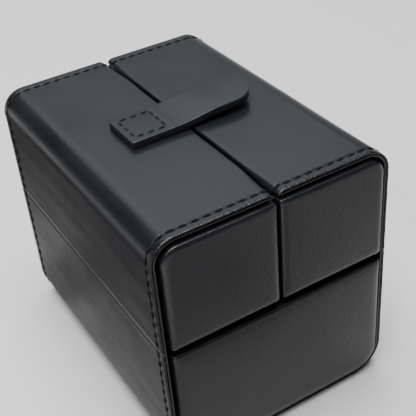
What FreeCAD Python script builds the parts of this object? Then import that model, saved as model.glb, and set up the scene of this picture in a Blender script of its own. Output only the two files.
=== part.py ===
"""Leather cufflink box: two butterfly lids over a cufflink tray, and a drawer in the base.

Millimetres, +Z up. The origin is the middle of the footprint, on the table. The lids part along
the Y axis and the drawer opens towards -Y. Every piece is one node, written to parts/NODE.step.

Each wall is built up from the outside: leather, casing, suede lining. At both ends the casing is
thinned to a lip, which leaves a rebate where the padded end panels sit.
"""
import FreeCAD
import Part
import math
import os

Vector = FreeCAD.Vector

# Overall size
WIDTH = 98.0
LENGTH = 130.0
HEIGHT = 108.0
TOP_CORNER_R = 9.6
BOTTOM_CORNER_R = 13.0

# Where the lids meet the base, and each other
LOWER_PANEL_TOP = 58.7
PANEL_GAP = 3.1
HINGE_ABOVE_PANEL = 2.3
CREASE = 0.3
SLIT = 1.2
SLIT_EDGE_R = 1.5
PANEL_SPLIT = 1.5

# Layers of the wall
LEATHER_T = 0.8
LIP_T = 0.9
CASING_T = 3.0
LINING_T = 0.5
BOTTOM_PAD_T = 0.8
BOTTOM_PAD_INSET = 6.0
BOTTOM_PAD_R = 8.0

# Padded end panels
GROOVE = 1.4
PANEL_BOARD_T = 2.0
PANEL_FOAM_T = 3.8
PANEL_STAND = 2.0
PANEL_EDGE_R = 2.8

# Shelf over the drawer
SHELF_T = 3.0
SHELF_DROP = 5.0

# Cufflink tray
TRAY_HEIGHT = 38.0
TRAY_WALL_T = 2.5
TRAY_FLOOR_T = 2.0
TRAY_ROWS = 3
TRAY_SIDE_GAP = 1.5
TRAY_REAR_GAP = 2.4
FINGER_TROUGH = 9.5
LAP_GAP = 0.1
CUSHION_T = 13.0
CUSHION_GAP = 0.3
CUSHION_EDGE_R = 2.5
CUSHION_SLOT_W = 2.0
CUSHION_SLOT_DEPTH = 8.0
CUSHION_SLOT_END = 5.0

# Drawer
DRAWER_GAP = 0.4
DRAWER_TOP_GAP = 1.2
DRAWER_REAR_GAP = 1.4
DRAWER_FRONT_GAP = 0.2
DRAWER_WALL_T = 2.5
DIVIDER_T = 2.5
DIVIDER_DROP = 6.0
DIVIDER_GAP = 0.1

# Closure strap
STRAP_W = 19.4
STRAP_TIP_W = 20.4
STRAP_START_X = -25.4
STRAP_FOLD_X = -8.7
STRAP_CLIMB_X = -6.5
STRAP_TIP_X = 30.0
STRAP_FACE_T = 1.6
STRAP_BACK_T = 1.4
STRAP_FOLD_GAP = 0.2
STRAP_LIFT = 0.15
STRAP_TIP_RISE = 0.7
STRAP_EDGE_R = 0.6

# Magnetic closure: the magnet under the strap's tip, the keeper riveted through the right lid
MAGNET_X = 13.5
MAGNET_R = 6.8
MAGNET_T = 1.0
MAGNET_GAP = 0.2
KEEPER_R = 7.2
KEEPER_T = 0.8
KEEPER_BEVEL = 0.3
RIVET_R = 1.5
RIVET_HOLE_GAP = 0.1
WASHER_R = 5.0
WASHER_T = 0.6
WASHER_GAP = 0.1

# Worked out from the sizes above
HALF_W = WIDTH / 2
HALF_L = LENGTH / 2
BASE_Z = BOTTOM_PAD_T
LID_LOW = LOWER_PANEL_TOP + PANEL_GAP
HINGE_Z = LOWER_PANEL_TOP + HINGE_ABOVE_PANEL
RIM_T = LEATHER_T + LIP_T
WALL_T = LEATHER_T + CASING_T
LINED_T = WALL_T + LINING_T
PANEL_INSET = RIM_T + GROOVE
PANEL_T = PANEL_BOARD_T + PANEL_FOAM_T + LEATHER_T
CASING_END = HALF_L - LEATHER_T
PANEL_FACE = HALF_L + PANEL_STAND
SHOULDER = PANEL_FACE - PANEL_T
LINED_END = SHOULDER - LINING_T
SLIT_FACE = -SLIT / 2 - LEATHER_T
SHELF_TOP = LOWER_PANEL_TOP - SHELF_DROP
SHELF_LOW = SHELF_TOP - LINING_T - SHELF_T
STRAP_T = STRAP_FACE_T + STRAP_BACK_T
MAGNET_STACK = KEEPER_T + MAGNET_GAP + MAGNET_T
FAR = 4 * (WIDTH + LENGTH + HEIGHT)


# ---- Shared shapes ----

def rounded_wire(corners):
    """Closed wire through (point, radius) corners, each rounded by its own tangent arc."""
    starts = []
    ends = []
    edges = []
    count = len(corners)
    for i, (point, radius) in enumerate(corners):
        back = (corners[i - 1][0] - point).normalize()
        ahead = (corners[(i + 1) % count][0] - point).normalize()
        if radius <= 0:
            starts.append(point)
            ends.append(point)
            continue
        half = back.getAngle(ahead) / 2
        bisector = (back + ahead).normalize()
        starts.append(point + back * (radius / math.tan(half)))
        ends.append(point + ahead * (radius / math.tan(half)))
        middle = point + bisector * (radius / math.sin(half) - radius)
        edges.append(Part.Arc(starts[-1], middle, ends[-1]).toShape())
    for i in range(count):
        edges.append(Part.LineSegment(ends[i], starts[(i + 1) % count]).toShape())
    return Part.Wire(Part.__sortEdges__(edges))


def cross_section(corners):
    """Face across the box from (x, z, radius) corners."""
    return Part.Face(rounded_wire([(Vector(x, 0, z), radius) for x, z, radius in corners]))


def run_along(face, y_from, y_to):
    """A cross-section run along the box."""
    moved = face.copy()
    moved.translate(Vector(0, y_from, 0))
    return moved.extrude(Vector(0, y_to - y_from, 0))


def block(x_from, x_to, y_from, y_to, z_from, z_to):
    size = Vector(x_to - x_from, y_to - y_from, z_to - z_from)
    return Part.makeBox(size.x, size.y, size.z, Vector(x_from, y_from, z_from))


def disc(radius, x, z_from, z_to):
    return Part.makeCylinder(radius, z_to - z_from, Vector(x, 0, z_from))


def mirrored(shape, axis):
    return shape.mirror(Vector(0, 0, 0), axis)


def to_right(shape):
    return mirrored(shape, Vector(1, 0, 0))


def to_front(shape):
    return mirrored(shape, Vector(0, 1, 0))


def both_ends(shape):
    return Part.makeCompound([shape, to_front(shape)])


def edges_where(shape, test):
    """The edges whose every end point passes the test."""
    return [edge for edge in shape.Edges if all(test(vertex.Point) for vertex in edge.Vertexes)]


def base_section(depth, top):
    """The base's cross-section, shrunk by depth all round, flat at the top."""
    side = HALF_W - depth
    low = BASE_Z + depth
    bend = max(BOTTOM_CORNER_R - depth, 0)
    return cross_section([(-side, top, 0), (side, top, 0), (side, low, bend), (-side, low, bend)])


def lid_section(depth, low, slit_x=FAR, slit_r=0):
    """The left lid's cross-section, shrunk by depth outside, open past the slit unless told."""
    side = depth - HALF_W
    top = HEIGHT - depth
    bend = max(TOP_CORNER_R - depth, 0)
    return cross_section([(side, low, 0), (side, top, bend), (slit_x, top, slit_r), (slit_x, low, 0)])


def lower_panel(inset):
    """Outline of the full-width panel below the lids, shrunk by inset."""
    side = HALF_W - PANEL_INSET - inset
    top = LOWER_PANEL_TOP - inset
    low = BASE_Z + PANEL_INSET + inset
    bend = max(BOTTOM_CORNER_R - PANEL_INSET - inset, 0)
    return cross_section([(-side, top, 0), (side, top, 0), (side, low, bend), (-side, low, bend)])


def lid_panel(inset):
    """Outline of the left lid's end panel, shrunk by inset."""
    side = PANEL_INSET + inset - HALF_W
    low = LID_LOW + inset
    top = HEIGHT - PANEL_INSET - inset
    slit_x = -PANEL_SPLIT / 2 - inset
    bend = max(TOP_CORNER_R - PANEL_INSET - inset, 0)
    return cross_section([(side, low, 0), (side, top, bend), (slit_x, top, 0), (slit_x, low, 0)])


def cut_rebates(shape, section):
    """Cut a section out of both ends, from the shoulder outwards."""
    return shape.cut(both_ends(run_along(section, SHOULDER, FAR)))


def padded_panel(outline, seat):
    """Board, foam and leather of an end panel at the rear, its board standing on the seat plane."""
    foam_seat = seat + PANEL_BOARD_T
    skin_seat = PANEL_FACE - LEATHER_T
    board = run_along(outline(LEATHER_T), seat, foam_seat)
    foam = rounded_end(run_along(outline(LEATHER_T), foam_seat, skin_seat), PANEL_EDGE_R - LEATHER_T)
    cover = rounded_end(run_along(outline(0), seat, PANEL_FACE), PANEL_EDGE_R)
    return board, foam, cover.cut(Part.makeCompound([board, foam]))


def rounded_end(shape, radius):
    """Round the rim of a shape's rear face."""
    rear = shape.BoundBox.YMax
    return shape.makeFillet(radius, edges_where(shape, lambda point: point.y > rear - radius / 2))


# ---- Base ----

def base_leather():
    """Skin over the sides and bottom, turned in over the casing's lip at both ends."""
    outside = run_along(base_section(0, HINGE_Z - CREASE / 2), -HALF_L, HALF_L)
    hollow = run_along(base_section(LEATHER_T, FAR), -CASING_END, CASING_END)
    return cut_rebates(outside.cut(hollow), base_section(RIM_T, FAR))


def base_casing():
    outside = run_along(base_section(LEATHER_T, LOWER_PANEL_TOP), -CASING_END, CASING_END)
    hollow = run_along(base_section(WALL_T, FAR), -SHOULDER, SHOULDER)
    return cut_rebates(outside.cut(hollow), base_section(RIM_T, FAR))


def base_lining():
    outside = run_along(base_section(WALL_T, LOWER_PANEL_TOP), -SHOULDER, SHOULDER)
    return outside.cut(run_along(base_section(LINED_T, FAR), -FAR, FAR))


def base_rear_lining():
    return run_along(base_section(LINED_T, LOWER_PANEL_TOP), LINED_END, SHOULDER)


def base_bottom_pad():
    x = HALF_W - BOTTOM_PAD_INSET
    y = HALF_L - BOTTOM_PAD_INSET
    corners = [(Vector(i, j, 0), BOTTOM_PAD_R) for i, j in ((-x, -y), (x, -y), (x, y), (-x, y))]
    return Part.Face(rounded_wire(corners)).extrude(Vector(0, 0, BOTTOM_PAD_T))


def shelf(z_from, z_to):
    side = HALF_W - LINED_T
    return block(-side, side, -SHOULDER, LINED_END, z_from, z_to)


# ---- Left lid, which the right lid mirrors ----

def lid_leather():
    """Skin from the hinge crease, round the top corner, over and into the slit."""
    low = HINGE_Z + CREASE / 2
    outside = run_along(lid_section(0, low, -SLIT / 2, SLIT_EDGE_R), -HALF_L, HALF_L)
    filling = lid_section(LEATHER_T, -FAR, SLIT_FACE, SLIT_EDGE_R - LEATHER_T)
    skin = outside.cut(run_along(filling, -CASING_END, CASING_END))
    skin = skin.cut(block(RIM_T - HALF_W, FAR, -SHOULDER, SHOULDER, -FAR, HEIGHT - WALL_T))
    return cut_rebates(skin, lid_section(RIM_T, -FAR))


def lid_casing():
    outline = lid_section(LEATHER_T, LID_LOW, SLIT_FACE, SLIT_EDGE_R - LEATHER_T)
    outside = run_along(outline, -CASING_END, CASING_END)
    hollow = run_along(lid_section(WALL_T, -FAR), -SHOULDER, SHOULDER)
    return cut_rebates(outside.cut(hollow), lid_section(RIM_T, -FAR))


def lid_lining():
    outside = run_along(lid_section(WALL_T, LID_LOW, SLIT_FACE), -SHOULDER, SHOULDER)
    return outside.cut(run_along(lid_section(LINED_T, -FAR), -FAR, FAR))


def lid_end_linings():
    return both_ends(run_along(lid_section(LINED_T, LID_LOW, SLIT_FACE), LINED_END, SHOULDER))


# ---- Cufflink tray ----

TRAY_X = HALF_W - LINED_T - TRAY_SIDE_GAP
TRAY_FRONT = FINGER_TROUGH - LINED_END
TRAY_REAR = LINED_END - TRAY_REAR_GAP
TRAY_INNER_X = TRAY_X - TRAY_WALL_T
TRAY_INNER_FRONT = TRAY_FRONT + TRAY_WALL_T
TRAY_INNER_REAR = TRAY_REAR - TRAY_WALL_T
TRAY_TOP = SHELF_TOP + TRAY_HEIGHT
TRAY_WALL_LOW = SHELF_TOP + TRAY_FLOOR_T
TRAY_LAP_Z = (TRAY_WALL_LOW + TRAY_TOP) / 2
CELL_W = TRAY_INNER_X - TRAY_WALL_T / 2
CELL_L = (TRAY_INNER_REAR - TRAY_INNER_FRONT - (TRAY_ROWS - 1) * TRAY_WALL_T) / TRAY_ROWS


def tray_floor():
    return block(-TRAY_X, TRAY_X, TRAY_FRONT, TRAY_REAR, SHELF_TOP, TRAY_WALL_LOW)


def tray_side_walls():
    wall = block(TRAY_INNER_X, TRAY_X, TRAY_FRONT, TRAY_REAR, TRAY_WALL_LOW, TRAY_TOP)
    return Part.makeCompound([wall, to_right(wall)])


def tray_end_wall(y):
    return block(-TRAY_INNER_X, TRAY_INNER_X, y, y + TRAY_WALL_T, TRAY_WALL_LOW, TRAY_TOP)


def cross_divider_fronts():
    """The front face of each cross divider."""
    pitch = CELL_L + TRAY_WALL_T
    return [TRAY_INNER_FRONT + row * pitch - TRAY_WALL_T for row in range(1, TRAY_ROWS)]


def tray_long_divider():
    """Runs between the end walls, slotted from above for the cross dividers."""
    half = TRAY_WALL_T / 2
    divider = block(-half, half, TRAY_INNER_FRONT, TRAY_INNER_REAR, TRAY_WALL_LOW, TRAY_TOP)
    for y in cross_divider_fronts():
        slot_end = y + TRAY_WALL_T + LAP_GAP
        divider = divider.cut(block(-FAR, FAR, y - LAP_GAP, slot_end, TRAY_LAP_Z - LAP_GAP, FAR))
    return divider


def tray_cross_dividers():
    """Run across the tray, slotted from below over the long divider."""
    half = TRAY_WALL_T / 2 + LAP_GAP
    dividers = []
    for y in cross_divider_fronts():
        plate = tray_end_wall(y)
        dividers.append(plate.cut(block(-half, half, -FAR, FAR, -FAR, TRAY_LAP_Z)))
    return Part.makeCompound(dividers)


def cushion(x_from, x_to, y_from, y_to):
    """Pad with rounded top edges and a slot across it that grips a cufflink's bar."""
    top = TRAY_WALL_LOW + CUSHION_T
    pad = block(x_from, x_to, y_from, y_to, TRAY_WALL_LOW, top)
    pad = pad.makeFillet(CUSHION_EDGE_R, edges_where(pad, lambda point: point.z > TRAY_WALL_LOW))
    y_slot = (y_from + y_to - CUSHION_SLOT_W) / 2
    slot = block(x_from + CUSHION_SLOT_END, x_to - CUSHION_SLOT_END, y_slot, y_slot + CUSHION_SLOT_W,
                 top - CUSHION_SLOT_DEPTH, FAR)
    return pad.cut(slot)


def tray_cushions():
    x_from = TRAY_WALL_T / 2 + LAP_GAP + CUSHION_GAP
    x_to = TRAY_INNER_X - CUSHION_GAP
    pads = []
    for row in range(TRAY_ROWS):
        y = TRAY_INNER_FRONT + row * (CELL_L + TRAY_WALL_T)
        pad = cushion(x_from, x_to, y + CUSHION_GAP, y + CELL_L - CUSHION_GAP)
        pads += [pad, to_right(pad)]
    return Part.makeCompound(pads)


# ---- Drawer ----

TUB_DEPTH = LINED_T + DRAWER_GAP
TUB_INNER = TUB_DEPTH + DRAWER_WALL_T
TUB_LINED = TUB_INNER + LINING_T
TUB_TOP = SHELF_LOW - DRAWER_TOP_GAP
TUB_FRONT = -SHOULDER - DRAWER_FRONT_GAP
TUB_REAR = LINED_END - DRAWER_REAR_GAP
TUB_INNER_FRONT = TUB_FRONT + DRAWER_WALL_T
TUB_INNER_REAR = TUB_REAR - DRAWER_WALL_T


def drawer_tub():
    """Floor and sides bent from one board, rounded to run in the base's rounded bottom."""
    outside = run_along(base_section(TUB_DEPTH, TUB_TOP), TUB_FRONT, TUB_REAR)
    return outside.cut(run_along(base_section(TUB_INNER, FAR), -FAR, FAR))


def drawer_end_wall(y):
    return run_along(base_section(TUB_INNER, TUB_TOP), y, y + DRAWER_WALL_T)


def drawer_lining():
    outside = run_along(base_section(TUB_INNER, TUB_TOP), TUB_INNER_FRONT, TUB_INNER_REAR)
    return outside.cut(run_along(base_section(TUB_LINED, FAR), -FAR, FAR))


def drawer_divider():
    middle = (TUB_INNER_FRONT + TUB_INNER_REAR - DIVIDER_T) / 2
    outline = base_section(TUB_LINED + DIVIDER_GAP, TUB_TOP - DIVIDER_DROP)
    return run_along(outline, middle, middle + DIVIDER_T)


# ---- Closure ----

def strap_line(rise):
    """The flap's line, seen from the end: along the lid, up in an S to the closure, on to the tip."""
    low = HEIGHT + STRAP_LIFT + rise
    high = HEIGHT + MAGNET_STACK + rise
    tip = high + STRAP_TIP_RISE
    start_x = STRAP_FOLD_X + STRAP_FOLD_GAP / 2
    half_x = (STRAP_CLIMB_X + MAGNET_X) / 2
    half_z = (low + high) / 2
    run = MAGNET_X - STRAP_CLIMB_X
    slope = math.atan((high - low) / run)
    sag = math.tan(slope / 2) * math.hypot(half_x - STRAP_CLIMB_X, half_z - low) / 2
    across = Vector(math.sin(slope), 0, -math.cos(slope)) * sag
    points = [Vector(start_x, 0, low), Vector(STRAP_CLIMB_X, 0, low), Vector(half_x, 0, half_z),
              Vector(MAGNET_X, 0, high), Vector(STRAP_TIP_X, 0, tip)]
    hollow = (points[1] + points[2]) / 2 + across
    crown = (points[2] + points[3]) / 2 - across
    return [Part.LineSegment(points[0], points[1]).toShape(),
            Part.Arc(points[1], hollow, points[2]).toShape(),
            Part.Arc(points[2], crown, points[3]).toShape(),
            Part.LineSegment(points[3], points[4]).toShape()]


def between_lines(low_rise, high_rise):
    """Everything between two strap lines, across the box."""
    low = strap_line(low_rise)
    high = strap_line(high_rise)
    start = Part.LineSegment(low[0].Vertexes[0].Point, high[0].Vertexes[0].Point).toShape()
    tip = Part.LineSegment(low[-1].Vertexes[-1].Point, high[-1].Vertexes[-1].Point).toShape()
    wire = Part.Wire(Part.__sortEdges__([*low, *high, start, tip]))
    return run_along(Part.Face(wire), -STRAP_TIP_W, STRAP_TIP_W)


def flap_plan():
    start = STRAP_FOLD_X + STRAP_FOLD_GAP / 2
    round_x = STRAP_TIP_X - STRAP_TIP_W / 2
    near = [Vector(start, -STRAP_W / 2, 0), Vector(round_x, -STRAP_TIP_W / 2, 0)]
    far = [Vector(round_x, STRAP_TIP_W / 2, 0), Vector(start, STRAP_W / 2, 0)]
    edges = [Part.LineSegment(*near).toShape(), Part.LineSegment(*far).toShape(),
             Part.Arc(near[1], Vector(STRAP_TIP_X, 0, 0), far[0]).toShape(),
             Part.LineSegment(far[1], near[0]).toShape()]
    plan = Part.Face(Part.Wire(Part.__sortEdges__(edges)))
    return plan.extrude(Vector(0, 0, FAR))


def strap_anchor():
    """The end that is sewn flat on the left lid, rounded along its free edges."""
    fold_x = STRAP_FOLD_X - STRAP_FOLD_GAP / 2
    strip = block(STRAP_START_X, fold_x, -STRAP_W / 2, STRAP_W / 2, HEIGHT, HEIGHT + STRAP_T)
    top = edges_where(strip, lambda point: point.z > HEIGHT)
    free = [edge for edge in top if edge.CenterOfMass.x < fold_x - STRAP_EDGE_R]
    return strip.makeFillet(STRAP_EDGE_R, free)


def strap_backing():
    return between_lines(0, STRAP_BACK_T).common(flap_plan())


def strap_face():
    return between_lines(STRAP_BACK_T, STRAP_T).common(flap_plan())


def closure_magnet():
    low = HEIGHT + KEEPER_T + MAGNET_GAP
    body = disc(MAGNET_R, MAGNET_X, low, low + STRAP_T + MAGNET_STACK)
    return body.cut(between_lines(0, FAR))


def closure_keeper():
    """Plate on the right lid with the rivet shank that holds it."""
    plate = disc(KEEPER_R, MAGNET_X, HEIGHT, HEIGHT + KEEPER_T)
    rim = edges_where(plate, lambda point: point.z > HEIGHT)
    shank = disc(RIVET_R, MAGNET_X, HEIGHT - WALL_T + WASHER_T, HEIGHT)
    return plate.makeChamfer(KEEPER_BEVEL, rim).fuse(shank).removeSplitter()


def closure_washer():
    low = HEIGHT - WALL_T
    return disc(WASHER_R, MAGNET_X, low, low + WASHER_T)


def rivet_hole():
    """Hole for the keeper's shank, with a seat for its washer on the inside."""
    low = HEIGHT - WALL_T
    hole = disc(RIVET_R + RIVET_HOLE_GAP, MAGNET_X, low, HEIGHT + KEEPER_T)
    return hole.fuse(disc(WASHER_R + WASHER_GAP, MAGNET_X, low, low + WASHER_T))


# ---- The whole box ----

def panel_nodes(name, parts):
    return dict(zip((name + "_board", name + "_foam", name + "_leather"), parts))


def base_nodes():
    nodes = {
        "base_bottom_pad": base_bottom_pad(),
        "base_leather": base_leather(),
        "base_casing": base_casing(),
        "base_lining": base_lining(),
        "base_rear_lining": base_rear_lining(),
        "shelf_board": shelf(SHELF_LOW, SHELF_LOW + SHELF_T),
        "shelf_lining": shelf(SHELF_TOP - LINING_T, SHELF_TOP),
        "tray_floor": tray_floor(),
        "tray_side_walls": tray_side_walls(),
        "tray_front_wall": tray_end_wall(TRAY_FRONT),
        "tray_rear_wall": tray_end_wall(TRAY_INNER_REAR),
        "tray_long_divider": tray_long_divider(),
        "tray_cross_dividers": tray_cross_dividers(),
        "tray_cushions": tray_cushions(),
    }
    nodes.update(panel_nodes("base_rear_panel", padded_panel(lower_panel, SHOULDER)))
    return nodes


def lid_nodes():
    left = {
        "leather": lid_leather(),
        "casing": lid_casing(),
        "lining": lid_lining(),
        "end_linings": lid_end_linings(),
    }
    rear = padded_panel(lid_panel, SHOULDER)
    left.update(panel_nodes("rear_panel", rear))
    left.update(panel_nodes("front_panel", [to_front(layer) for layer in rear]))
    nodes = {"left_lid_" + name: shape for name, shape in left.items()}
    nodes.update({"right_lid_" + name: to_right(shape) for name, shape in left.items()})
    for name in ("right_lid_leather", "right_lid_casing"):
        nodes[name] = nodes[name].cut(rivet_hole())
    return nodes


def drawer_nodes():
    front = padded_panel(lower_panel, SHOULDER + DRAWER_FRONT_GAP)
    nodes = {
        "drawer_tub": drawer_tub(),
        "drawer_front_wall": drawer_end_wall(TUB_FRONT),
        "drawer_back_wall": drawer_end_wall(TUB_INNER_REAR),
        "drawer_lining": drawer_lining(),
        "drawer_divider": drawer_divider(),
    }
    nodes.update(panel_nodes("drawer_front_panel", [to_front(layer) for layer in front]))
    return nodes


def closure_nodes():
    return {
        "strap_anchor": strap_anchor(),
        "strap_backing": strap_backing(),
        "strap_face": strap_face(),
        "closure_magnet": closure_magnet(),
        "closure_keeper": closure_keeper(),
        "closure_washer": closure_washer(),
    }


def main():
    os.makedirs("parts", exist_ok=True)
    for group in (base_nodes(), lid_nodes(), drawer_nodes(), closure_nodes()):
        for name, shape in group.items():
            shape.exportStep(os.path.join("parts", name + ".step"))


main()
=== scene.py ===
"""Leather cufflink box: stitched leather, padded end panels, strap, closure and suede insides.

Pieces are shaped in millimetres and scaled to metres when they are finished. The left side is
shaped first and mirrored to make the right.
"""
import math
import bmesh
import bpy
from mathutils import Matrix, Vector, noise
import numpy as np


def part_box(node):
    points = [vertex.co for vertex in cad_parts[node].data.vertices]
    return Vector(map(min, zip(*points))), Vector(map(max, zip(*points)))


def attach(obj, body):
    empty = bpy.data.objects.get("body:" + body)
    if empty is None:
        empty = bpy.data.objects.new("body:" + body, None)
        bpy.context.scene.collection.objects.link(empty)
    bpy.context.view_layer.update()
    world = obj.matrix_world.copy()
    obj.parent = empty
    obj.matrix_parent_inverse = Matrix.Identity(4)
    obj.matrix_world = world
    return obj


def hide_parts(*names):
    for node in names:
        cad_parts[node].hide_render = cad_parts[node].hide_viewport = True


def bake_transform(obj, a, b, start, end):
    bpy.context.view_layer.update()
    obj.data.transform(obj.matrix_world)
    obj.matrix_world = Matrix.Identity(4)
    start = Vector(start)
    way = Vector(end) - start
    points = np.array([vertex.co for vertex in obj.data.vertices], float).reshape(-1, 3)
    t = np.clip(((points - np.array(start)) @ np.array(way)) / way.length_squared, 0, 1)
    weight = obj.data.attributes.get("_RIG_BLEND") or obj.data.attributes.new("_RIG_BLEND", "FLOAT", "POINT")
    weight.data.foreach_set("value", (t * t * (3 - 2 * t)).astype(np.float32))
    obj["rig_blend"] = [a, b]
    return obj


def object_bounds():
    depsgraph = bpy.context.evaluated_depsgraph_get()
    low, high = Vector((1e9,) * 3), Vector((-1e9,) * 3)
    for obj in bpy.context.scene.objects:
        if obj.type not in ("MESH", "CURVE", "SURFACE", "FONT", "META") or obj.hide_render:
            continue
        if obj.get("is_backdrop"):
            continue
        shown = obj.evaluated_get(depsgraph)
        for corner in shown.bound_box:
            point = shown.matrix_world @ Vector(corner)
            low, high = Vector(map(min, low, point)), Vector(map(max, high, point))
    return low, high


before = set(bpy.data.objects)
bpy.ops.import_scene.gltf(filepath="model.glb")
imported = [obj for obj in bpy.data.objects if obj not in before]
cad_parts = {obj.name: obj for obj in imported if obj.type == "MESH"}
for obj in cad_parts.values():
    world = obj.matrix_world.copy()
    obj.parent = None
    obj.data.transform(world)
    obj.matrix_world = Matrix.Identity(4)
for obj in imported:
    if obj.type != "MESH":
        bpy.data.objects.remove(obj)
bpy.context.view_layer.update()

X_AXIS = Vector((1, 0, 0))
Y_AXIS = Vector((0, 1, 0))
Z_AXIS = Vector((0, 0, 1))

# Between millimetres and metres
MM = 0.001
METRE = 1000

# Sizes are in millimetres, down to the leather's finish. NEAR is how close counts as touching.
NEAR = 1e-3

# The box. SHOULDER is where the rebates for the panels start, at either end.
HALF_W = 49.0
HALF_L = 65.0
HEIGHT = 108.0
BASE_Z = 0.8
TOP_CORNER_R = 9.6
BOTTOM_CORNER_R = 13.0
HINGE_Z = 61.0
SHOULDER = 60.4

# The slit. Its rolled edge is tight along the middle, and flares to its full radius at the ends.
HALF_SLIT = 0.6
SLIT_EDGE_R = 2.7
SLIT_MIDDLE_R = 1.0
SLIT_LOW = 104.2
SLIT_FLARE_FROM = 42
SLIT_FLARE_RUN = 18
NEAR_SLIT_X = -6
SLIT_ROLL_DEPTH = 5
SLIT_ROLL_TOP = 1.9
SLIT_TURN_SHARPNESS = 1000

# Cross-section: segments to each corner, and a step longer than any side, which cuts no side up
SECTION_SEGMENTS = 6
PATH_SEGMENTS = 16
PATH_STEP = 200

# Leather sheet, and the lining of its rim. COLUMN is the widest space between its columns of vertices,
# END_ROWS are its rows in from each end, and CREASE_BAND is half the height that bends at the hinge.
LEATHER_T = 0.8
COLUMN = 0.8
END_ROLL_R = 0.7
RIM_DEPTH = 0.86
RIM_T = 0.95
RIM_START = SHOULDER + 0.05
RIM_END = 64.82
RIM_ROLL_R = 0.7
REBATE_LOW = 106.3
CREASE_BAND = 1.25
CREASE_STEPS = (0.14, 0.32, 0.55, 0.8, 1.05, 1.3, 1.8, 2.6, 3.8, 6)
END_ROWS = (0.9, 1.3, 2.0, 2.7, 3.1, 3.4, 3.6, 3.8, 4.0, 4.2, 4.5, 4.9, 5.6, 6.8, 9, 12, 15, 19, 23)
MIDDLE_ROW_STEP = 6

# The sheet's relief: a height or depth, and how far it reaches. A bridge is the leather between stitches.
SEAM_DEPTH, SEAM_REACH = 0.26, 0.5
BRIDGE_RISE, BRIDGE_REACH, BRIDGE_HALF_LENGTH = 0.42, 0.6, 0.45
RIM_SWELL = 0.05
SIDE_X = -44
CREASE_DEPTH, CREASE_REACH = 0.1, 0.8
CREASE_LIP_RISE, CREASE_LIP_AT, CREASE_LIP_REACH = 0.06, 1.9, 1.1
SIDE_WAVE, SIDE_WAVE_Y, SIDE_WAVE_Z, SIDE_WAVE_SEED = 0.1, 55, 7.5, 3.1
SHEET_WAVE, SHEET_WAVE_XZ, SHEET_WAVE_Y, SHEET_WAVE_SEED = 0.06, 17, 26, 9

# Stitching. The ply is the thread's twist, and the square holds down the strap's sewn end.
STITCH_Y = 61.2
STITCH_START = 6.3
STITCH_LENGTH = 3.9
STITCH_W = 1.0
STITCH_SLANT = 0.07
STITCH_SINK = 0.2
STITCH_RISE, STITCH_BOW, STITCH_FLATNESS = 0.2, 0.34, 0.85
STITCH_COUNT_TO_CREASE = 19
FIRST_STITCH_SHORTER = 0.7
HOLE_R = 0.42
PLY_LENGTH, PLY_WRAP = 0.9, 0.45
SQUARE_STITCHES = 3
SQUARE_STITCH_SINK, SQUARE_STITCH_GAP = 0.12, 0.55

# Padded panels. A roll is how far the rim reaches in from the edge, and back from the face.
LID_PANEL_R = 6.5
LID_PANEL_ROLL = (3.0, 1.3)
END_PANEL_R = 9.9
END_PANEL_ROLL = (4.4, 1.2)
PANEL_SHARP_R = 0.9
PANEL_SEAT = 6.55
PANEL_WALL = 4.6
PANEL_ROLL_STEPS = 9
PANEL_FLAT_FROM = 1.2
PANEL_GRID = 2.5
PANEL_SHARP_GROWTH = 0.7
CROWN_RISE, CROWN_REACH, CROWN_SINK = 0.5, 7, 0.15
CROWN_DEPTH = 4
BIG_LUMP, BIG_LUMP_SIZE = 0.1, 19
SMALL_LUMP, SMALL_LUMP_SIZE = 0.03, 5
EDGE_WOBBLE, EDGE_WOBBLE_SIZE = 0.07, 8

# Strap: sewn down left of the bend, free right of it, and climbing to the magnet
STRAP_LOW = 108.0
STRAP_TOP = 111.0
STRAP_LEFT = -25.4
STRAP_RIGHT = 30.5
STRAP_HALF_W = 9.7
STRAP_NEAR_HALF_W = 10.5
STRAP_TIP_HALF_W = 10.3
STRAP_CORNER_R = 1.0
STRAP_TIP_FLAT = 0.15
STRAP_EDGE_R = 0.35
STRAP_LOW_EDGE_R = 0.3
STRAP_FLAT_INSET = 0.5
STRAP_LAYER = 1.4
STRAP_BEND_FROM = -8.9
STRAP_BEND_TO = -4.9
STRAP_CLIMB_FROM = -6.5
STRAP_CLIMB_TO = 13.5
STRAP_LIFT, STRAP_LIFT_RUN = 0.15, 1.5
STRAP_CLIMB = 2.0
STRAP_TIP_RISE = 0.7
STRAP_FOLD_FROM, STRAP_FOLD_TO = -10, -4
STRAP_ROWS = (-6, -3, 0, 3, 6)
STRAP_RELIEF = 0.1
STRAP_WAVE = 0.05
SQUARE_X = (-22.6, -9.3)
SQUARE_Y = 7.25

# Closure, as (radius, height) points
CLOSURE_X = 13.5
KEEPER_OUTLINE = ((0, 108.8), (1.3, 108.79), (1.55, 108.7), (1.8, 108.66), (2.1, 108.72), (6.6, 108.8),
                  (6.95, 108.74), (7.15, 108.6), (7.2, 108.4), (7.2, 107.95), (1.5, 107.95), (1.5, 104.9),
                  (0, 104.9))
MAGNET_OUTLINE = ((0, 109.02), (5.3, 109.02), (5.5, 109.1), (5.75, 109.1), (5.95, 109.0), (6.45, 109.0),
                  (6.7, 109.1), (6.8, 109.3), (6.8, 110.03), (0, 110.03))
LATHE_STEPS = 64

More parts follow.
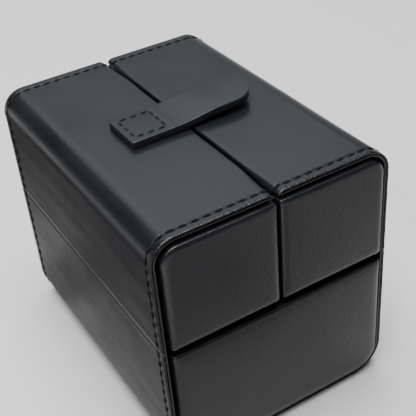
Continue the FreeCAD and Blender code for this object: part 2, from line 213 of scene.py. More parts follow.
# Tray cushions and boards. A cushion's slot is cut in two steps: its lips, then its depth.
TRAY_ROWS = 3
CUSHIONS_APART = 3.1
CUSHION_FROM_MIDDLE = 1.65
CUSHION_TOP_R = 2.6
CUSHION_SIDE_R = 1.2
CUSHION_SLOT_END = 5.2
CUSHION_SLOT_HALF_W = 1
CUSHION_SLOT_STEPS = (0.7, 7.2)
CUSHION_COLUMN = 3.4
CUSHION_NEAR_ROW = 2.2
CUSHION_ROWS = (4.4, 7.2, 10, 12.4)
CUSHION_LEVELS = (4.5, 7.5)
CUSHION_SINK = 0.8
CUSHION_LUMP, CUSHION_LUMP_SIZE = 0.25, 9
CUSHION_WAIST = 0.35
SLOT_DIP, SLOT_DIP_REACH = 0.75, 2.4
BOARD_EDGE_R = 0.35

# Leather's finish: colours, and heights in metres
LEATHER_DARK = (0.007, 0.0077, 0.0102)
LEATHER_PALE = (0.012, 0.0128, 0.016)
LEATHER_RUBBED = (0.03, 0.031, 0.032)
# Paler colour of the hinge crease: partly wear, partly a painted highlight.
LEATHER_WORN_AND_HIGHLIT = (0.12, 0.12, 0.118)
# Near-black of the stitch holes: painted shade.
HOLE_PAINTED_SHADE = (0.001, 0.001, 0.001)
PEBBLE_HEIGHT, CREASE_HEIGHT, PORE_HEIGHT = 2.4e-5, 1.3e-5, 2.5e-6
RUB_HEIGHT = 2.2e-5
HOLE_DEPTH, PUCKER_HEIGHT = 1.6e-4, 6.0e-5
PLEAT_HEIGHT = 2.6e-4

# Stage, in metres
TABLE_DULL = (0.84, 0.855, 0.86)
TABLE_PALE = (0.89, 0.895, 0.895)
TABLE_T = 0.02
SHADE = (0.01, 0.01, 0.012)
SHADE_Z = 0.0003
LAMPS_AIM = Vector((0, 0, 0.06))
AIR = (0.97, 0.985, 1.0)
AIR_REFLECTED = 0.04
AIR_SEEN = 0.6
CAMERA_LENS = 75.29
CAMERA_SENSOR = 36
CAMERA_PLACE = (-0.13396, -0.26236, 0.27286)
CAMERA_TURN = ((0.84958, 0.35462, -0.39046), (-0.52233, 0.46265, -0.71633), (-0.07337, 0.81252, 0.57829))


# ---- Shader maths ----

class Amount:
    """A number in a finish's node tree that Python's operators act on."""

    def __init__(self, finish, socket):
        self.finish = finish
        self.socket = socket

    def math(self, operation, *values):
        made = self.finish.node("ShaderNodeMath", {"operation": operation}, dict(enumerate(values)))
        return Amount(self.finish, made.outputs[0])

    def __add__(self, other):
        return self.math("ADD", self, other)

    __radd__ = __add__

    def __sub__(self, other):
        return self.math("SUBTRACT", self, other)

    def __rsub__(self, other):
        return self.math("SUBTRACT", other, self)

    def __mul__(self, other):
        return self.math("MULTIPLY", self, other)

    __rmul__ = __mul__

    def __truediv__(self, other):
        return self.math("DIVIDE", self, other)

    def __pow__(self, other):
        return self.math("POWER", self, other)

    def __abs__(self):
        return self.math("ABSOLUTE", self)

    def fraction(self):
        return self.math("FRACT", self)

    def smooth(self, low, high, at_low=0.0, at_high=1.0):
        """Moves smoothly from at_low to at_high as this goes from low to high."""
        made = self.finish.node("ShaderNodeMapRange", {"interpolation_type": "SMOOTHSTEP"},
                                {"Value": self, "From Min": low, "From Max": high,
                                 "To Min": at_low, "To Max": at_high})
        return Amount(self.finish, made.outputs[0])


class Finish:
    """One material. With rest, it reads the place at rest that piece() notes on each new piece."""

    def __init__(self, name, rest=True, **fixed):
        self.material = bpy.data.materials.new(name)
        self.material.use_nodes = True
        self.tree = self.material.node_tree
        self.tree.nodes.clear()
        self.shader = self.node("ShaderNodeBsdfPrincipled", {}, fixed)
        out = self.node("ShaderNodeOutputMaterial", {}, {})
        self.tree.links.new(self.shader.outputs[0], out.inputs[0])
        if rest:
            self.place = self.node("ShaderNodeAttribute", {"attribute_name": "at_rest"}, {}).outputs["Vector"]
        else:
            self.place = self.node("ShaderNodeTexCoord", {}, {}).outputs["Object"]
        split = self.node("ShaderNodeSeparateXYZ", {}, {0: self.place})
        self.x, self.y, self.z = (Amount(self, split.outputs[i]) for i in range(3))

    def node(self, kind, settings, sockets):
        """Adds a node, and gives its sockets their values."""
        made = self.tree.nodes.new(kind)
        for key, value in settings.items():
            setattr(made, key, value)
        for key, value in sockets.items():
            self.set(made, key, value)
        return made

    def set(self, node, key, value):
        """Links a socket to what feeds it, or sets it to a fixed value."""
        if isinstance(value, Amount):
            value = value.socket
        if isinstance(value, bpy.types.NodeSocket):
            self.tree.links.new(value, node.inputs[key])
        elif isinstance(value, tuple) and len(value) == 3 and node.inputs[key].type == "RGBA":
            node.inputs[key].default_value = (*value, 1)
        else:
            node.inputs[key].default_value = value

    def attribute(self, name):
        return Amount(self, self.node("ShaderNodeAttribute", {"attribute_name": name}, {}).outputs["Fac"])

    def stretched(self, scale):
        return self.node("ShaderNodeMapping", {}, {"Vector": self.place, "Scale": scale}).outputs[0]

    def noise(self, scale, detail, roughness=0.5, vector=None):
        made = self.node("ShaderNodeTexNoise", {}, {"Vector": vector or self.place, "Scale": scale,
                                                     "Detail": detail, "Roughness": roughness})
        return Amount(self, made.outputs[0])

    def cells(self, scale, feature="F1"):
        made = self.node("ShaderNodeTexVoronoi", {"feature": feature}, {"Vector": self.place, "Scale": scale})
        return Amount(self, made.outputs["Distance"])

    def blend(self, amount, first, second):
        made = self.node("ShaderNodeMix", {"data_type": "RGBA"}, {"Factor": amount})
        for key, value in ((6, first), (7, second)):
            self.set(made, key, value)
        return made.outputs[2]

    def finished(self, colour, roughness, height=None):
        """Wires up colour and roughness, and a height in metres as a bump."""
        self.set(self.shader, "Base Color", colour)
        self.set(self.shader, "Roughness", roughness)
        if height is not None:
            bump = self.node("ShaderNodeBump", {}, {"Height": height, "Distance": 1.0, "Strength": 1.0})
            self.set(self.shader, "Normal", bump.outputs[0])
        return self.material


def leather(name, grain, stitched=False, scuffed_with_lit_crease=False):
    """Satin black leather with a fine pebble grain. Scuffing adds the rubbed sides and wear on the hinge
    crease, with a painted highlight on the crease; stitching adds the holes, with painted shade in them, the
    puckers of the stitching and the pleats beyond it."""
    finish = Finish(name, IOR=1.5)
    patches = finish.noise(38, 3)
    pebbles = finish.cells(950, "SMOOTH_F1")
    creases = finish.noise(420, 4, 0.6)
    pores = finish.noise(2600, 1)
    height = grain * (PEBBLE_HEIGHT * pebbles + CREASE_HEIGHT * creases + PORE_HEIGHT * pores)
    colour = finish.blend(patches, LEATHER_DARK, LEATHER_PALE)
    roughness = patches.smooth(0.3, 0.7, 0.27, 0.33) + 0.05 * creases
    if scuffed_with_lit_crease:
        side = abs(finish.x).smooth(0.046, 0.0485)
        rubs = finish.noise(1, 5, 0.7, finish.stretched((150, 22, 150)))
        crease = abs(finish.z - HINGE_Z * MM).smooth(0.0003, 0.0011, 1, 0)
        # The hinge crease is painted paler: partly wear, partly a painted highlight along the crease.
        crease_wear_and_highlight = side * (crease * rubs.smooth(0.2, 0.6, 0.5, 1))
        rubbed = side * rubs.smooth(0.5, 0.72)
        roughness = roughness + 0.09 * rubbed
        colour = finish.blend(rubbed * 0.5, colour, LEATHER_RUBBED)
        colour = finish.blend(crease_wear_and_highlight * 0.6, colour, LEATHER_WORN_AND_HIGHLIT)
        height = height + RUB_HEIGHT * side * rubs
    if stitched:
        run = finish.attribute("run")
        pitch = STITCH_PITCH * MM
        along = ((run / pitch - STITCH_START * MM / pitch + 0.5).fraction() - 0.5) * pitch
        across = abs(finish.y) - STITCH_Y * MM
        reach = (along * along + across * across) ** 0.5
        hole = reach.smooth(HOLE_R * 0.6 * MM, HOLE_R * 1.3 * MM, 1, 0)
        pucker = reach.smooth(HOLE_R * MM, HOLE_R * 3.2 * MM, 1, 0)
        height = height - HOLE_DEPTH * hole + PUCKER_HEIGHT * pucker
        # The stitch holes are painted near-black: painted shade in the holes.
        colour = finish.blend(hole, colour, HOLE_PAINTED_SHADE)
        border = across.smooth(0.0005, 0.0013)
        pleats = finish.noise(1, 3, 0.6, finish.stretched((1300, 450, 1300)))
        height = height + PLEAT_HEIGHT * border * pleats
        roughness = roughness + 0.3 * hole - 0.08 * border
    return finish.finished(colour, roughness, height)


def thread():
    """Waxed black thread, three plies laid together."""
    finish = Finish("waxed_black_thread", IOR=1.34)
    ply = finish.attribute("ply")
    strands = (ply * 2.2).fraction()
    ridge = 1 - (strands * 2 - 1) ** 2
    fuzz = finish.noise(9000, 1)
    # The grooves between the plies are painted darker than their ridges: painted shade between the plies.
    colour = finish.blend(ridge, (0.002, 0.002, 0.002), (0.009, 0.009, 0.009))
    return finish.finished(colour, 0.6 + 0.12 * fuzz, 5.0e-5 * ridge + 4.0e-6 * fuzz)


def painted_edge():
    """Edge paint on cut leather: smooth, slightly uneven, with the two layers just showing."""
    finish = Finish("painted_leather_edge", IOR=1.5)
    waves = finish.noise(700, 2, vector=finish.stretched((1, 1, 3)))
    return finish.finished(finish.blend(waves, (0.02, 0.021, 0.025), (0.034, 0.035, 0.04)),
                           0.42 + 0.12 * waves, 3.0e-5 * waves)


def suede(name, low, high, rest=False, nap=1.0):
    """Short suede: mottled where the nap lies different ways."""
    finish = Finish(name, rest, IOR=1.4)
    finish.set(finish.shader, "Sheen Weight", 0.45)
    finish.set(finish.shader, "Sheen Roughness", 0.4)
    strokes = finish.noise(70, 4, 0.6)
    fibres = finish.noise(3200, 3, 0.7)
    tufts = finish.cells(1700)
    colour = finish.blend(strokes.smooth(0.3, 0.7) * 0.7 + fibres * 0.3, low, high)
    return finish.finished(colour, 0.86 + 0.12 * fibres, nap * (3.0e-5 * fibres + 2.5e-5 * tufts))


def felt():
    """Pressed black felt, matted and uneven."""
    finish = Finish("black_felt", rest=False, IOR=1.4)
    finish.set(finish.shader, "Sheen Weight", 0.3)
    mat = finish.noise(1500, 4, 0.75)
    lumps = finish.noise(190, 2)
    colour = finish.blend(mat, (0.012, 0.012, 0.013), (0.035, 0.035, 0.037))
    return finish.finished(colour, 0.95, 9.0e-5 * mat + 8.0e-5 * lumps)


def covering_paper():
    """Black embossed paper over the casings."""
    finish = Finish("black_covering_paper", rest=False, IOR=1.45)
    emboss = finish.cells(1300, "DISTANCE_TO_EDGE")
    cloud = finish.noise(45, 3)
    colour = finish.blend(cloud, (0.012, 0.012, 0.013), (0.022, 0.022, 0.023))
    return finish.finished(colour, 0.55 + 0.15 * cloud, 3.0e-5 * emboss.smooth(0.02, 0.3))


def grey_board():
    """Dense grey board of the panels, with its pulp flecks."""
    finish = Finish("dense_grey_board", rest=False, IOR=1.45)
    flecks = finish.noise(900, 4, 0.8)
    colour = finish.blend(flecks.smooth(0.35, 0.7), (0.17, 0.16, 0.14), (0.27, 0.25, 0.22))
    return finish.finished(colour, 0.85, 3.0e-5 * flecks)


def open_foam():
    """Open-celled grey foam."""
    finish = Finish("grey_padding_foam", rest=False, IOR=1.4)
    bubbles = finish.cells(1500)
    # The cells' hollows are painted darker: painted shade in the open pores.
    colour = finish.blend(bubbles, (0.2, 0.2, 0.19), (0.42, 0.42, 0.4))
    return finish.finished(colour, 0.95, 2.0e-4 * bubbles)


def nickel():
    """Bright nickel plate, lightly brushed round its middle and dulled in patches."""
    finish = Finish("nickel_plate", Metallic=1.0)
    brushed = finish.noise(2400, 2, 0.6, finish.stretched((1, 1, 0.1)))
    dull = finish.noise(160, 3)
    colour = finish.blend(dull, (0.56, 0.55, 0.52), (0.68, 0.67, 0.64))
    return finish.finished(colour, 0.17 + 0.1 * dull + 0.06 * brushed, 2.5e-6 * brushed)


# ---- Shaping ----

def joined(bm, points, closed=False):
    """A run of edges through points."""
    verts = [bm.verts.new(point) for point in points]
    ends = list(zip(verts, verts[1:])) + ([(verts[-1], verts[0])] if closed else [])
    for pair in ends:
        bm.edges.new(pair)
    return verts


def rounded(bm, vert, radius, segments):
    """Turns a corner of a run into an arc."""
    bmesh.ops.bevel(bm, geom=[vert], affect="VERTICES", offset=radius, offset_type="OFFSET",
                    segments=segments, profile=0.5, material=-1, clamp_overlap=False)


def sliced(bm, axis, places):
    """Adds a cut across the piece at each place along the axis."""
    for place in places:
        bmesh.ops.bisect_plane(bm, geom=bm.verts[:] + bm.edges[:] + bm.faces[:], dist=1e-4,
                               plane_co=axis * place, plane_no=axis)


def of_type(made, kind):
    """What an operator made, of one kind."""
    return [item for item in made["geom"] if isinstance(item, kind)]


def drawn_out(bm, geom, along):
    """Extrudes edges or a face along a vector."""
    if isinstance(geom[0], bmesh.types.BMEdge):
        made = bmesh.ops.extrude_edge_only(bm, edges=geom)
    else:
        made = bmesh.ops.extrude_face_region(bm, geom=geom)
    bmesh.ops.translate(bm, verts=of_type(made, bmesh.types.BMVert), vec=along)


def rolled(bm, edges, radius, segments):
    """Rounds edges over."""
    bmesh.ops.bevel(bm, geom=edges, affect="EDGES", offset=radius, offset_type="OFFSET", segments=segments,
                    profile=0.5, material=-1, clamp_overlap=True)


def edges_where(bm, test):
    """The edges whose ends both pass a test of their place."""
    return [edge for edge in bm.edges if all(test(vert.co) for vert in edge.verts)]


def linked(bm, name, materials):
    """Makes the mesh an object of the scene."""
    mesh = bpy.data.meshes.new(name)
    bm.to_mesh(mesh)
    bm.free()
    for material in materials:
        mesh.materials.append(material)
    made = bpy.data.objects.new(name, mesh)
    bpy.context.scene.collection.objects.link(made)
    return made


def piece(bm, name, materials, right=False):
    """Makes the mesh an object in metres, mirrored for the right, with its place at rest noted."""
    if right:
        bmesh.ops.scale(bm, verts=bm.verts, vec=(-1, 1, 1))
    bmesh.ops.remove_doubles(bm, verts=bm.verts, dist=1e-4)
    bmesh.ops.scale(bm, verts=bm.verts, vec=(MM, MM, MM))
    bmesh.ops.recalc_face_normals(bm, faces=bm.faces)
    for face in bm.faces:
        face.smooth = True
    place = bm.verts.layers.float_vector.new("at_rest")
    for vert in bm.verts:
        vert[place] = vert.co
    made = linked(bm, name, materials)
    return made


def spaced(low, high, step):
    """Even places between low and high, about a step apart, ends left out."""
    count = max(1, round((high - low) / step))
    return [low + (high - low) * i / count for i in range(1, count)]


def bell(value, width):
    """1 at 0, fading to nothing over about two widths."""
    return math.exp(-(value / width) ** 2)


def smoothstep(value):
    """0 below 0, 1 above 1, and a smooth way between them."""
    value = min(1.0, max(0.0, value))
    return value * value * (3 - 2 * value)


# ---- The leather sheet that wraps each side ----

def half_section(bm, depth, segments=SECTION_SEGMENTS):
    """The left half of the box's cross-section, from the slit round to the middle of the bottom."""
    low = BASE_Z + depth
    verts = joined(bm, [(-HALF_SLIT - depth, 0, SLIT_LOW), (-HALF_SLIT - depth, 0, HEIGHT - depth),
                        (depth - HALF_W, 0, HEIGHT - depth), (depth - HALF_W, 0, low), (0, 0, low)])
    rounded(bm, verts[1], SLIT_EDGE_R - depth, segments)
    rounded(bm, verts[2], TOP_CORNER_R - depth, 2 * segments)
    rounded(bm, verts[3], BOTTOM_CORNER_R - depth, 2 * segments)
    return verts[0]


def walked(start):
    """The vertices of a run from start, each with its distance along the run."""
    along = [(0.0, start)]
    last = None
    while True:
        distance, at = along[-1]
        onward = [edge.other_vert(at) for edge in at.link_edges if edge.other_vert(at) != last]
        if not onward:
            return along
        last = at
        along.append((distance + (onward[0].co - at.co).length, onward[0]))


def section_path(segments, step):
    """Points of the outer cross-section, no more than a step apart, with their distances along it."""
    bm = bmesh.new()
    path = []
    for distance, vert in walked(half_section(bm, 0, segments)):
        if path:
            start, low = path[-1]
            count = math.ceil((distance - start) / step)
            path += [(start + (distance - start) * i / count, low.lerp(vert.co, i / count))
                     for i in range(1, count)]
        path.append((distance, vert.co.copy()))
    bm.free()
    return path


PATH = section_path(PATH_SEGMENTS, PATH_STEP)


def on_path(distance):
    """Where a distance along the section is, its direction, and which way is out."""
    for (start, low), (end, high) in zip(PATH, PATH[1:]):
        if distance <= end:
            break
    direction = (high - low).normalized()
    return low + direction * (distance - start), direction, Vector((direction.z, 0, -direction.x))


CREASE_RUN = next(start + (low.z - HINGE_Z) for (start, low), (end, high) in zip(PATH, PATH[1:])
                  if low.z > HINGE_Z >= high.z)
STITCH_PITCH = (CREASE_RUN - STITCH_START) / STITCH_COUNT_TO_CREASE


def slit_tightening(point, out):
    """Moves the slit's rolled edge from its radius at the ends to the tighter one along its middle."""
    at_slit = 0.0
    if point.z > HEIGHT - SLIT_ROLL_DEPTH and point.x > NEAR_SLIT_X:
        at_slit = smoothstep(out.x * SLIT_TURN_SHARPNESS)
    roll_starts = abs(point.x + HALF_SLIT + SLIT_EDGE_R) < 0.01
    if point.z > HEIGHT - SLIT_ROLL_TOP and roll_starts:
        at_slit = 1.0
    share = 1 - smoothstep((abs(point.y) - SLIT_FLARE_FROM) / SLIT_FLARE_RUN)
    change = at_slit * share * (SLIT_EDGE_R - SLIT_MIDDLE_R)
    return Vector((change * (1 - out.x), 0, change * (1 - out.z)))


def shaped_leather(bm):
    """Presses in the stitching line and the hinge crease, and gives the sheet its slight waves."""
    out_layer = bm.verts.layers.float_vector["out"]
    run = bm.verts.layers.float["run"]
    seam = HALF_L - STITCH_Y
    for vert in bm.verts:
        point, out = vert.co.copy(), vert[out_layer]
        behind = HALF_L - abs(point.y)
        off_gap = ((vert[run] * METRE - STITCH_START) / STITCH_PITCH + 0.5) % 1.0 - 0.5
        to_gap = abs(off_gap) * STITCH_PITCH
        lift = -SEAM_DEPTH * bell(behind - seam, SEAM_REACH)
        lift += BRIDGE_RISE * bell(behind - seam, BRIDGE_REACH) * bell(to_gap, BRIDGE_HALF_LENGTH)
        if 0 < behind < seam:
            lift += RIM_SWELL * math.sin(math.pi * behind / seam)
        if point.x < SIDE_X:
            lift -= CREASE_DEPTH * bell(point.z - HINGE_Z, CREASE_REACH)
            lift += CREASE_LIP_RISE * bell(abs(point.z - HINGE_Z) - CREASE_LIP_AT, CREASE_LIP_REACH)
            wave_at = Vector((SIDE_WAVE_SEED, point.y / SIDE_WAVE_Y, point.z / SIDE_WAVE_Z))
            lift += SIDE_WAVE * noise.noise(wave_at)
        wave_at = Vector((point.x / SHEET_WAVE_XZ, point.y / SHEET_WAVE_Y,
                          point.z / SHEET_WAVE_XZ + SHEET_WAVE_SEED))
        lift += SHEET_WAVE * noise.noise(wave_at)
        vert.co += out * lift + slit_tightening(point, out)


def facing_out(bm):
    """Makes the faces of an open sheet agree and look away from the box's middle."""
    bmesh.ops.recalc_face_normals(bm, faces=bm.faces)
    bm.normal_update()
    top = max(bm.faces, key=lambda face: face.calc_center_median().z)
    if top.normal.z < 0:
        bmesh.ops.reverse_faces(bm, faces=bm.faces)
        bm.normal_update()


def trimmed_slit(bm):
    """Takes the slit's wall off the ends of the sheet, up to the rebate that the panels sit in."""
    waste = []
    for face in bm.faces:
        centre = face.calc_center_median()
        if abs(centre.y) > SHOULDER and centre.x > NEAR_SLIT_X and HINGE_Z < centre.z < REBATE_LOW:
            waste.append(face)
    bmesh.ops.delete(bm, geom=waste, context="FACES")


def thickened(bm, thickness):
    """Adds the inner side of a sheet, straight in from each point, and closes its edges."""
    out = bm.verts.layers.float_vector["out"]
    for vert in bm.verts:
        vert[out] = vert.normal
    made = bmesh.ops.extrude_face_region(bm, geom=bm.faces[:], use_keep_orig=True)
    for vert in of_type(made, bmesh.types.BMVert):
        vert.co -= vert[out] * thickness


def sliced_for_folding(bm):
    """Adds the rows of vertices across the hinge crease, closest in the middle, and along the rebate."""
    rows = [HINGE_Z + side * step for side in (-1, 1) for step in CREASE_STEPS]
    sliced(bm, Z_AXIS, [HINGE_Z] + rows + [REBATE_LOW])


def outer_ends(bm, end):
    """The outer edges of a sheet's two ends."""
    bm.normal_update()
    out = bm.verts.layers.float_vector["out"]
    found = []
    for edge in edges_where(bm, lambda at: abs(abs(at.y) - end) < NEAR):
        faces = [face for face in edge.link_faces if abs(face.normal.y) < 0.5]
        if len(edge.link_faces) == 2 and len(faces) == 1 and faces[0].normal.dot(edge.verts[0][out]) > 0.3:
            found.append(edge)
    return found


def leather_sheet(name, right, material):
    """The outer leather of one side: lid and half of the base in one sheet."""
    bm = bmesh.new()
    run = bm.verts.layers.float.new("run")
    bm.verts.layers.float_vector.new("out")
    points = section_path(SECTION_SEGMENTS, COLUMN)
    for (distance, _), vert in zip(points, joined(bm, [point for _, point in points])):
        vert[run] = distance * MM
    bmesh.ops.translate(bm, verts=bm.verts, vec=(0, -HALF_L, 0))
    drawn_out(bm, bm.edges[:], (0, 2 * HALF_L, 0))
    for end in (-1, 1):
        sliced(bm, Y_AXIS, [end * (HALF_L - row) for row in END_ROWS])
    sliced(bm, Y_AXIS, spaced(-SLIT_FLARE_FROM, SLIT_FLARE_FROM, MIDDLE_ROW_STEP))
    sliced_for_folding(bm)
    facing_out(bm)
    trimmed_slit(bm)
    thickened(bm, LEATHER_T)
    rolled(bm, outer_ends(bm, HALF_L), END_ROLL_R, 4)
    shaped_leather(bm)
    return piece(bm, name, [material], right)


def rim_lining(name, right, material):
    """The turned-in leather inside the rim at both ends, a layer below the outer sheet."""
    bm = bmesh.new()
    bm.verts.layers.float_vector.new("out")
    half_section(bm, RIM_DEPTH)
    base = bm.edges[:]
    bmesh.ops.translate(bm, verts=bm.verts, vec=(0, RIM_START, 0))
    drawn_out(bm, base, (0, RIM_END - RIM_START, 0))
    sliced_for_folding(bm)
    sliced(bm, Y_AXIS, [RIM_END - 1])
    facing_out(bm)
    trimmed_slit(bm)
    thickened(bm, RIM_T)
    bm.normal_update()
    ends = [edge for edge in edges_where(bm, lambda at: at.y > RIM_END - NEAR)
            if len({abs(face.normal.y) > 0.9 for face in edge.link_faces}) == 2]
    rolled(bm, ends, RIM_ROLL_R, 3)
    front = bmesh.ops.duplicate(bm, geom=bm.verts[:] + bm.edges[:] + bm.faces[:])
    bmesh.ops.scale(bm, verts=of_type(front, bmesh.types.BMVert), vec=(1, -1, 1))
    return piece(bm, name, [material], right)


def hinge_blended(made, lid, right):
    """Bends a leather piece between the base and its lid, over the crease only."""
    x = HALF_W * MM * (1 if right else -1)
    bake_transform(made, "base", lid, start=(x, 0, (HINGE_Z - CREASE_BAND) * 0.001),
             end=(x, 0, (HINGE_Z + CREASE_BAND) * 0.001))


# ---- Stitching ----

def one_stitch(bm, centre, direction, out, length, slant=STITCH_SLANT):
    """A laid stitch: fat in the middle, its ends pulled down into the holes."""
    made = bmesh.ops.create_uvsphere(bm, u_segments=8, v_segments=7, radius=1.0)
    ply = bm.verts.layers.float["ply"]
    across = out.cross(direction)
    turned = direction * math.cos(slant) + across * math.sin(slant)
    across = out.cross(turned)
    thick = 0.5 * STITCH_W
    for vert in made["verts"]:
        along, side, up = vert.co.z, vert.co.x, vert.co.y
        vert[ply] = along * length / 2 / PLY_LENGTH + math.atan2(side, up) / (2 * math.pi) * PLY_WRAP
        bow = STITCH_BOW * along * along
        vert.co = (centre + turned * (along * length / 2) + across * (side * thick)
                   + out * (up * thick * STITCH_FLATNESS + STITCH_RISE - bow))


def stitching(name, right, material):
    """One side's rows of stitches along both ends. The first of each is short and tucks into the slit."""
    bm = bmesh.new()
    bm.verts.layers.float.new("ply")
    total = PATH[-1][0]
    count = int((total - STITCH_START) / STITCH_PITCH)
    for end in (-1, 1):
        for number in range(-1, count):
            middle = STITCH_START + (number + 0.5) * STITCH_PITCH
            length = STITCH_LENGTH
            if number < 0:
                middle += FIRST_STITCH_SHORTER / 2
                length -= FIRST_STITCH_SHORTER
            point, direction, out = on_path(middle)
            one_stitch(bm, point + Y_AXIS * end * STITCH_Y - out * STITCH_SINK, direction, out, length,
                       STITCH_SLANT * end)
    return piece(bm, name, [material], right)


def strap_stitching(material):
    """The square of stitches that holds the strap."""
    bm = bmesh.new()
    bm.verts.layers.float.new("ply")
    left, right = SQUARE_X
    corners = [(left, -SQUARE_Y), (right, -SQUARE_Y), (right, SQUARE_Y), (left, SQUARE_Y)]
    for (x0, y0), (x1, y1) in zip(corners, corners[1:] + corners[:1]):
        low, high = Vector((x0, y0, STRAP_TOP)), Vector((x1, y1, STRAP_TOP))
        direction = (high - low).normalized()
        step = (high - low).length / SQUARE_STITCHES
        for number in range(SQUARE_STITCHES):
            one_stitch(bm, low + direction * step * (number + 0.5) - Z_AXIS * SQUARE_STITCH_SINK, direction,
                       Z_AXIS, step - SQUARE_STITCH_GAP)
    return piece(bm, "strap_stitching", [material])


# ---- Padded end panels ----

def ring(bm, low, high, inset, y, corners):
    """A closed run just inside a panel's outline. Sharp corners get rounder inwards, as padding does."""
    places = [(low.x + inset, high.z - inset), (high.x - inset, high.z - inset),
              (high.x - inset, low.z + inset), (low.x + inset, low.z + inset)]
    verts = joined(bm, [(x, y, z) for x, z in places], closed=True)
    for vert, radius in zip(verts, corners):
        if radius > PANEL_SHARP_R:
            rounded(bm, vert, radius - inset, 10)
        else:
            rounded(bm, vert, radius + inset * PANEL_SHARP_GROWTH, 5)
    return [edge for edge in bm.edges if edge.is_wire and abs(edge.verts[0].co.y - y) < 1e-4]


def padded_panel(name, body, upper, skin, corner_r, roll):
    """A padded panel over its board: crowned face, one or two rounded corners, and a rim whose roll
    is a quarter ellipse, given by how far it reaches in from the edge and back from the face."""
    low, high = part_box(name + "_panel_leather")
    low, high = low * METRE, high * METRE
    front = low.y < 0
    face_y = low.y if front else high.y
    outward = -1 if front else 1
    if upper:
        corners = [corner_r if low.x < -40 else PANEL_SHARP_R, corner_r if high.x > 40 else PANEL_SHARP_R,
                   PANEL_SHARP_R, PANEL_SHARP_R]
    else:
        corners = [PANEL_SHARP_R, PANEL_SHARP_R, corner_r, corner_r]
    reach, back = roll
    turns = [math.radians(90 * step / PANEL_ROLL_STEPS) for step in range(PANEL_ROLL_STEPS + 1)]
    rim = [(reach * (1 - math.cos(turn)), back * (1 - math.sin(turn))) for turn in turns]
    steps = [(0, PANEL_SEAT), (0, PANEL_WALL)] + rim + [(reach + PANEL_FLAT_FROM, 0)]
    bm = bmesh.new()
    rings = []
    for inset, behind in steps:
        rings.append(ring(bm, low, high, inset, face_y - outward * behind, corners))
        if len(rings) > 1:
            bmesh.ops.bridge_loops(bm, edges=rings[-2] + rings[-1])
    for ends in (rings[0], rings[-1]):
        bmesh.ops.contextual_create(bm, geom=ends)
    margin = 2 * PANEL_GRID
    sliced(bm, X_AXIS, spaced(low.x + margin, high.x - margin, PANEL_GRID))
    sliced(bm, Z_AXIS, spaced(low.z + margin, high.z - margin, PANEL_GRID))
    bmesh.ops.triangulate(bm, faces=[face for face in bm.faces if len(face.verts) > 4])
    seed = Vector((low.x, face_y, low.z))
    for vert in bm.verts:
        point = vert.co.copy()
        in_x = min(point.x - low.x, high.x - point.x)
        in_z = min(point.z - low.z, high.z - point.z)
        depth = min(1.0, max(0.0, 1 - abs(point.y - face_y) / CROWN_DEPTH))
        crown = (CROWN_RISE * (1 - math.exp(-in_x / CROWN_REACH)) * (1 - math.exp(-in_z / CROWN_REACH))
                 - CROWN_SINK)
        lumps = (BIG_LUMP * noise.noise((point + seed) / BIG_LUMP_SIZE)
                 + SMALL_LUMP * noise.noise((point + seed) / SMALL_LUMP_SIZE))
        vert.co.y += outward * depth * (crown + lumps)
        wobble = EDGE_WOBBLE * noise.noise((point - seed) / EDGE_WOBBLE_SIZE) * (1 - depth)
        vert.co.x += wobble
        vert.co.z += wobble
    made = piece(bm, name + "_padding", [skin])
    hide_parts(name + "_panel_leather")
    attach(made, body)


# ---- Strap and closure ----

def strap_rise(x):
    """How far the strap stands off the lid at x."""
    climb = smoothstep((x - STRAP_CLIMB_FROM) / (STRAP_CLIMB_TO - STRAP_CLIMB_FROM))
    lift = STRAP_LIFT * smoothstep((x - STRAP_BEND_FROM) / STRAP_LIFT_RUN)
    tip = max(0.0, (x - STRAP_CLIMB_TO) / (STRAP_RIGHT - STRAP_CLIMB_TO))
    return lift + (STRAP_CLIMB - STRAP_LIFT) * climb + STRAP_TIP_RISE * tip


